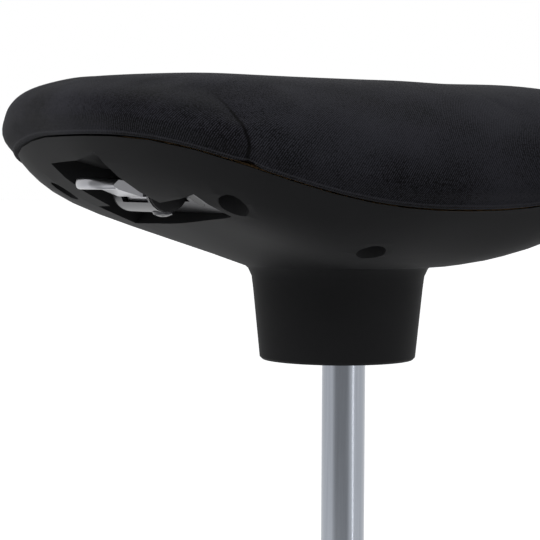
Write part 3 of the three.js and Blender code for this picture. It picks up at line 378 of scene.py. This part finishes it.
weave = add_node(tree, "ShaderNodeMix", {
    "Factor": over.outputs[0], "A": ribs[0], "B": ribs[1]}, data_type="FLOAT")
fuzz = add_node(tree, "ShaderNodeTexNoise", {
    "Vector": place.outputs["Object"], "Scale": 1100.0, "Detail": 2.0, "Roughness": 0.7})
flecks = add_node(tree, "ShaderNodeMapRange", {
    "Value": fuzz.outputs[0], "From Min": 0.34, "From Max": 0.68})
spun = {0: weave.outputs[0], 1: flecks.outputs[0]}
thread = add_node(tree, "ShaderNodeMath", spun, operation="MULTIPLY")
cloudy = add_node(tree, "ShaderNodeTexNoise", {
    "Vector": place.outputs["Object"], "Scale": 16.0, "Detail": 3.0})
tone = add_node(tree, "ShaderNodeMath", {0: thread.outputs[0], 1: cloudy.outputs[0]}, operation="ADD")
yarn = add_node(tree, "ShaderNodeValToRGB", {"Fac": tone.outputs[0]})
yarn.color_ramp.elements[0].position = 0.45
yarn.color_ramp.elements[0].color = linear("#070708")
yarn.color_ramp.elements[1].position = 0.90
yarn.color_ramp.elements[1].color = linear("#27272c")

# The dart's thread lies dark in its seam, and a painted highlight lies pale along the hem's lip at the
# skirt's foot
seam = add_node(tree, "ShaderNodeSeparateXYZ", {"Vector": place.outputs["Object"]})
side = add_node(tree, "ShaderNodeMath", {0: seam.outputs["X"]}, operation="ABSOLUTE")
off_dart = {0: seam.outputs["Z"], 1: -dart_lean, 2: side.outputs[0]}
lean = add_node(tree, "ShaderNodeMath", off_dart, operation="MULTIPLY_ADD")
away = add_node(tree, "ShaderNodeMath", {0: lean.outputs[0]}, operation="ABSOLUTE")
line = add_node(tree, "ShaderNodeMapRange", {
    "Value": away.outputs[0], "From Min": 0.0005, "From Max": 0.0014, "To Min": 0.85, "To Max": 0.0})
front = add_node(tree, "ShaderNodeMapRange", {
    "Value": seam.outputs["Y"], "From Min": -0.128, "From Max": -0.104, "To Min": 1.0, "To Max": 0.0})
sewn = add_node(tree, "ShaderNodeMath", {0: line.outputs[0], 1: front.outputs[0]}, operation="MULTIPLY")
stitched = add_node(tree, "ShaderNodeMix", {
    "Factor": sewn.outputs[0], "A": yarn.outputs["Color"], "B": linear("#030303")}, data_type="RGBA")
# Painted highlight: a pale band on the hem's bulging lip, where the light catches it
painted_highlight_length = 0.0345
hem_near = add_node(tree, "ShaderNodeMath", {0: height.outputs["Y"], 1: -painted_highlight_length}, operation="ADD")
hem_off = add_node(tree, "ShaderNodeMath", {0: hem_near.outputs[0]}, operation="ABSOLUTE")
hem_painted_highlight = add_node(tree, "ShaderNodeMapRange", {
    "Value": hem_off.outputs[0], "From Min": 0.0002, "From Max": 0.0008, "To Min": 0.35, "To Max": 0.0})
cloth_tone = add_node(tree, "ShaderNodeMix", {
    "Factor": hem_painted_highlight.outputs[0], "A": stitched.outputs[2], "B": linear("#3b3b3f")}, data_type="RGBA")
relief = add_node(tree, "ShaderNodeBump", {
    "Height": thread.outputs[0], "Strength": 0.5, "Distance": 0.00025})
tree.links.new(cloth_tone.outputs[2], shader.inputs["Base Color"])
tree.links.new(relief.outputs[0], shader.inputs["Normal"])
cushion.data.materials.clear()
cushion.data.materials.append(twill)
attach(cushion, "seat")
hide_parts("seat_cushion")


# Shell, collars, end caps and cable housing. Moulded polypropylene with a fine spark-eroded grain,
# which makes it satin black with hardly a highlight. The shell is screwed up to the pan.
edge_angle = math.radians(32)


def finish(material, names):
    """Gives CAD pieces a material and shades them smoothly, but keeps the edges over the angle."""
    for name in names:
        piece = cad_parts[name]
        piece.data.materials.clear()
        piece.data.materials.append(material)
        for face in piece.data.polygons:
            face.use_smooth = True
        piece.modifiers.new("weld", "WELD").merge_threshold = 1e-5
        piece.modifiers.new("edges", "EDGE_SPLIT").split_angle = edge_angle
        piece.modifiers.new("even", "WEIGHTED_NORMAL")


def grained(name, colour, pale_colour, grain_mm, bump, **shader_values):
    """A mottled, finely grained finish whose grain has a real size in millimetres."""
    made, tree, shader = new_material(name, **shader_values)
    place = add_node(tree, "ShaderNodeTexCoord")
    grain = add_node(tree, "ShaderNodeTexNoise", {
        "Vector": place.outputs["Object"], "Scale": 1000 / grain_mm, "Detail": 2.0})
    patches = add_node(tree, "ShaderNodeTexNoise", {
        "Vector": place.outputs["Object"], "Scale": 22.0, "Detail": 3.0})
    tint = add_node(tree, "ShaderNodeMix", {
        "Factor": patches.outputs[0], "A": linear(colour), "B": linear(pale_colour)}, data_type="RGBA")
    relief = add_node(tree, "ShaderNodeBump", {
        "Height": grain.outputs[0], "Strength": bump, "Distance": grain_mm / 4000})
    tree.links.new(tint.outputs[2], shader.inputs["Base Color"])
    tree.links.new(relief.outputs[0], shader.inputs["Normal"])
    return made


polypropylene = grained(
    "moulded_polypropylene", "#19191a", "#202021", 0.6, 0.12, Roughness=0.65, IOR=1.49)
polypropylene.node_tree.nodes["Principled BSDF"].inputs["Specular IOR Level"].default_value = 0.06
finish(polypropylene, [
    "seat_shell", "tube_collar", "base_collar", "front_end_cap", "rear_end_cap", "cable_housing"])

# Lever, its bracket and the release button. Zinc die castings: the lever and the button are satin
# chromium plated and bright; the bracket's zinc is coloured darker, a painted shade for its darker
# reflection.
plated = grained("satin_plated_zinc", "#98989c", "#aaaaae", 1.2, 0.08, Roughness=0.30, Metallic=1.0)
# Painted shade: the bracket gets the lever's zinc in a darker colour, standing in for the darker
# reflection it shows
zinc_painted_darker = grained("zinc_with_painted_shade", "#333336", "#3d3d40", 1.2, 0.10, Roughness=0.36, Metallic=1.0)
finish(plated, ["height_lever", "release_button"])
finish(zinc_painted_darker, ["lever_bracket"])


# Lift tube, rod and foot cover. Ground tube and rod and a spun cover, of steel, hard chromium plated
# and brushed lengthwise, so that highlights run along them in fine streaks.
def streaked(name, colour, pale_colour, streak_mm, **shader_values):
    """Bright metal with fine lengthwise streaks round a turned or drawn piece."""
    made, tree, shader = new_material(name, Metallic=1.0, **shader_values)
    place = add_node(tree, "ShaderNodeTexCoord")
    stretch = add_node(tree, "ShaderNodeMapping", {
        "Vector": place.outputs["Object"], "Scale": (1, 1, 0.02)})
    streaks = add_node(tree, "ShaderNodeTexNoise", {
        "Vector": stretch.outputs[0], "Scale": 1000 / streak_mm, "Detail": 3.0})
    tint = add_node(tree, "ShaderNodeMix", {
        "Factor": streaks.outputs[0], "A": linear(colour), "B": linear(pale_colour)}, data_type="RGBA")
    relief = add_node(tree, "ShaderNodeBump", {
        "Height": streaks.outputs[0], "Strength": 0.1, "Distance": 0.0001})
    tree.links.new(tint.outputs[2], shader.inputs["Base Color"])
    tree.links.new(relief.outputs[0], shader.inputs["Normal"])
    return made


chrome = streaked("satin_hard_chrome", "#8a8e95", "#a0a4ac", 1.5, Roughness=0.2)
finish(chrome, ["gas_cylinder", "piston_rod", "base_cover"])

# Column tube, seat bracket, clip and screws. The tube is powder coated, with a slight orange peel.
# The bracket, the clip and the screws are pressed or turned steel, blackened in oil, and glossier.
powder_coat = grained("black_powder_coat", "#19191a", "#202021", 0.5, 0.3, Roughness=0.5, IOR=1.5)
blackened = grained("blackened_steel", "#141415", "#1d1d20", 0.4, 0.1, Roughness=0.45, Metallic=0.3)
finish(powder_coat, ["outer_tube"])
finish(blackened, [
    "retaining_clip", "seat_bracket", "lever_bracket_screw_1", "lever_bracket_screw_2",
    *(f"base_screw_{i}" for i in range(1, 5)), *(f"bracket_bolt_{i}" for i in range(1, 5)),
    *(f"shell_screw_{i}" for i in range(1, 7)),
])

# Plain steel pieces inside the foot, the column and the seat. Turned or pressed, and zinc plated,
# which leaves them a soft bluish grey with cloudy patches.
zinc = grained("zinc_plated_steel", "#7d8084", "#94979a", 2.5, 0.15, Roughness=0.38, Metallic=1.0)
finish(zinc, [
    "base_plate", "base_hub", "ball_cage", "lower_washer", "upper_washer", "piston", "taper_socket",
    "pivot_pin", "return_spring", "release_head", "arm_pin", "release_arm", "cable_wire",
])

# Foot ring, bump stop and seals. Moulded nitrile rubber, matt black with a dusty grain, pressed
# over or into the pieces that hold them.
rubber = grained("moulded_nitrile_rubber", "#161617", "#1d1d1e", 0.8, 0.3, Roughness=0.8, IOR=1.52)
finish(rubber, ["foot_ring", "bump_stop", "piston_seal", "cylinder_seal"])

# Guide of the lift tube and clips of the cable. Moulded acetal in its natural colour, slightly
# yellow, smooth and a little waxy.
acetal = grained("natural_acetal", "#cfccc0", "#d8d5ca", 1.0, 0.05, Roughness=0.4, IOR=1.48)
finish(acetal, ["guide_sleeve", "cable_clip_1", "cable_clip_2"])

# Pan. Beech plywood, pressed in a mould and left bare, with the grain along the seat's width:
# pale brown with long thin fibres.
plywood, tree, shader = new_material("moulded_beech_plywood", Roughness=0.6)
place = add_node(tree, "ShaderNodeTexCoord")
along = add_node(tree, "ShaderNodeMapping", {"Vector": place.outputs["Object"], "Scale": (0.04, 1, 1)})
fibres = add_node(tree, "ShaderNodeTexNoise", {"Vector": along.outputs[0], "Scale": 420.0, "Detail": 4.0})
tint = add_node(tree, "ShaderNodeMix", {
    "Factor": fibres.outputs[0], "A": linear("#a37c4c"), "B": linear("#cda36f")}, data_type="RGBA")
tree.links.new(tint.outputs[2], shader.inputs["Base Color"])
finish(plywood, ["seat_pan"])
